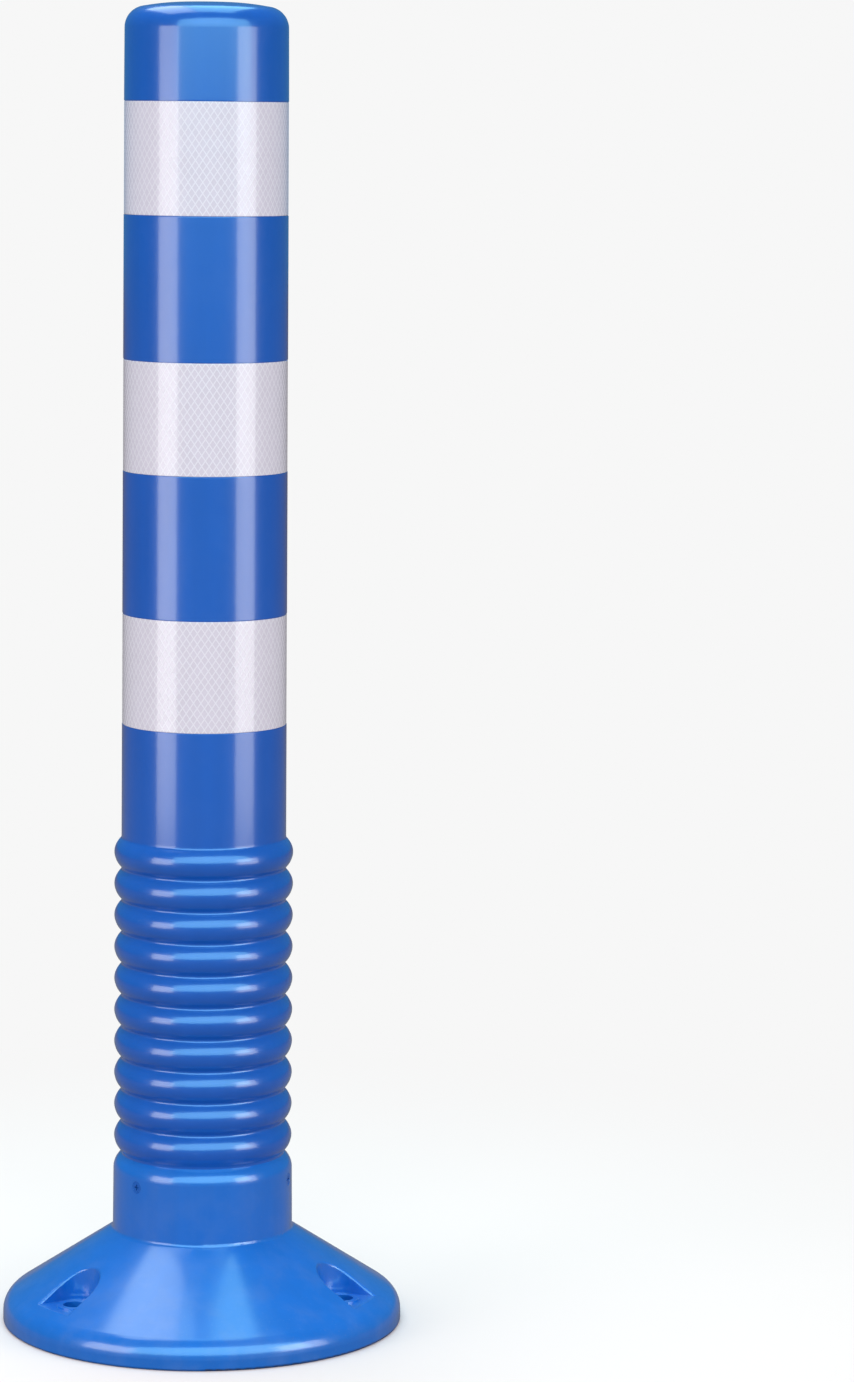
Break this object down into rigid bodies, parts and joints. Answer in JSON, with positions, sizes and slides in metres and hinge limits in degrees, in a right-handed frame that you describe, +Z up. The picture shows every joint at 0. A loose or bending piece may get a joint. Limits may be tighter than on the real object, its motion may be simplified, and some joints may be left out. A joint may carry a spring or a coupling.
{
  "type": "delineator post",
  "caption": "Flexible traffic delineator post: round ribbed blue body on a conical bolt-down base, with white reflective films.",
  "frame": {"origin": "centre of the base on the ground", "axes": "+Z up along the post, -Y the front, +X to the right seen from the front"},
  "size_m": [0.198, 0.198, 0.65],
  "materials": {
    "base_moulding": "glossy moulded polyurethane",
    "body_moulding": "glossy moulded polyurethane",
    "reflective_film": "prismatic reflective film",
    "screw_steel": "coated steel"
  },
  "bodies": {
    "base": {"base_flange": "base_moulding", "body_spigot": "body_moulding", "locking_screws": "screw_steel"},
    "flex_rib_01_body": {"flex_rib_01": "body_moulding"},
    "flex_rib_02_body": {"flex_rib_02": "body_moulding"},
    "flex_rib_03_body": {"flex_rib_03": "body_moulding"},
    "flex_rib_04_body": {"flex_rib_04": "body_moulding"},
    "flex_rib_05_body": {"flex_rib_05": "body_moulding"},
    "flex_rib_06_body": {"flex_rib_06": "body_moulding"},
    "flex_rib_07_body": {"flex_rib_07": "body_moulding"},
    "flex_rib_08_body": {"flex_rib_08": "body_moulding"},
    "flex_rib_09_body": {"flex_rib_09": "body_moulding"},
    "flex_rib_10_body": {"flex_rib_10": "body_moulding"},
    "upper_post": {"upper_tube": "body_moulding", "upper_reflective_film": "reflective_film", "middle_reflective_film": "reflective_film", "lower_reflective_film": "reflective_film"}
  },
  "joints": [
    {"name": "lean_forward", "type": "hinge", "parent": "base", "child": "flex_rib_01_body", "pos_m": [0, 0, 0.0856], "axis": [1, 0, 0], "range_deg": [-7.5, 7.5], "stiffness_Nm_per_rad": 150, "deforming": ["flex_rib_01"]},
    {"name": "lean_sideways", "type": "hinge", "parent": "flex_rib_01_body", "child": "flex_rib_02_body", "pos_m": [0, 0, 0.1014], "axis": [0, 1, 0], "range_deg": [-9, 9], "stiffness_Nm_per_rad": 150, "deforming": ["flex_rib_02"]},
    {"name": "valley_03_forward", "type": "hinge", "parent": "flex_rib_02_body", "child": "flex_rib_03_body", "pos_m": [0, 0, 0.1172], "axis": [1, 0, 0], "range_deg": [-16.5, 16.5], "stiffness_Nm_per_rad": 150, "deforming": ["flex_rib_03"]},
    {"name": "valley_04_sideways", "type": "hinge", "parent": "flex_rib_03_body", "child": "flex_rib_04_body", "pos_m": [0, 0, 0.133], "axis": [0, 1, 0], "range_deg": [-9, 9], "stiffness_Nm_per_rad": 150, "deforming": ["flex_rib_04"]},
    {"name": "valley_05_forward", "type": "hinge", "parent": "flex_rib_04_body", "child": "flex_rib_05_body", "pos_m": [0, 0, 0.1488], "axis": [1, 0, 0], "range_deg": [-16.5, 16.5], "stiffness_Nm_per_rad": 150, "deforming": ["flex_rib_05"]},
    {"name": "valley_06_sideways", "type": "hinge", "parent": "flex_rib_05_body", "child": "flex_rib_06_body", "pos_m": [0, 0, 0.1646], "axis": [0, 1, 0], "range_deg": [-9, 9], "stiffness_Nm_per_rad": 150, "deforming": ["flex_rib_06"]},
    {"name": "valley_07_forward", "type": "hinge", "parent": "flex_rib_06_body", "child": "flex_rib_07_body", "pos_m": [0, 0, 0.1804], "axis": [1, 0, 0], "range_deg": [-16.5, 16.5], "stiffness_Nm_per_rad": 150, "deforming": ["flex_rib_07"]},
    {"name": "valley_08_sideways", "type": "hinge", "parent": "flex_rib_07_body", "child": "flex_rib_08_body", "pos_m": [0, 0, 0.1962], "axis": [0, 1, 0], "range_deg": [-9, 9], "stiffness_Nm_per_rad": 150, "deforming": ["flex_rib_08"]},
    {"name": "valley_09_forward", "type": "hinge", "parent": "flex_rib_08_body", "child": "flex_rib_09_body", "pos_m": [0, 0, 0.212], "axis": [1, 0, 0], "range_deg": [-16.5, 16.5], "stiffness_Nm_per_rad": 150, "deforming": ["flex_rib_09"]},
    {"name": "valley_10_sideways", "type": "hinge", "parent": "flex_rib_09_body", "child": "flex_rib_10_body", "pos_m": [0, 0, 0.2278], "axis": [0, 1, 0], "range_deg": [-9, 9], "stiffness_Nm_per_rad": 150, "deforming": ["flex_rib_10"]},
    {"name": "valley_11_forward", "type": "hinge", "parent": "flex_rib_10_body", "child": "upper_post", "pos_m": [0, 0, 0.2436], "axis": [1, 0, 0], "range_deg": [-16.5, 16.5], "stiffness_Nm_per_rad": 150}
  ],
  "couplings": [
    {"joint": "valley_03_forward", "follows": "lean_forward", "ratio": 2.2},
    {"joint": "valley_04_sideways", "follows": "lean_sideways", "ratio": 1},
    {"joint": "valley_05_forward", "follows": "lean_forward", "ratio": 2.2},
    {"joint": "valley_06_sideways", "follows": "lean_sideways", "ratio": 1},
    {"joint": "valley_07_forward", "follows": "lean_forward", "ratio": 2.2},
    {"joint": "valley_08_sideways", "follows": "lean_sideways", "ratio": 1},
    {"joint": "valley_09_forward", "follows": "lean_forward", "ratio": 2.2},
    {"joint": "valley_10_sideways", "follows": "lean_sideways", "ratio": 1},
    {"joint": "valley_11_forward", "follows": "lean_forward", "ratio": 2.2}
  ]
}
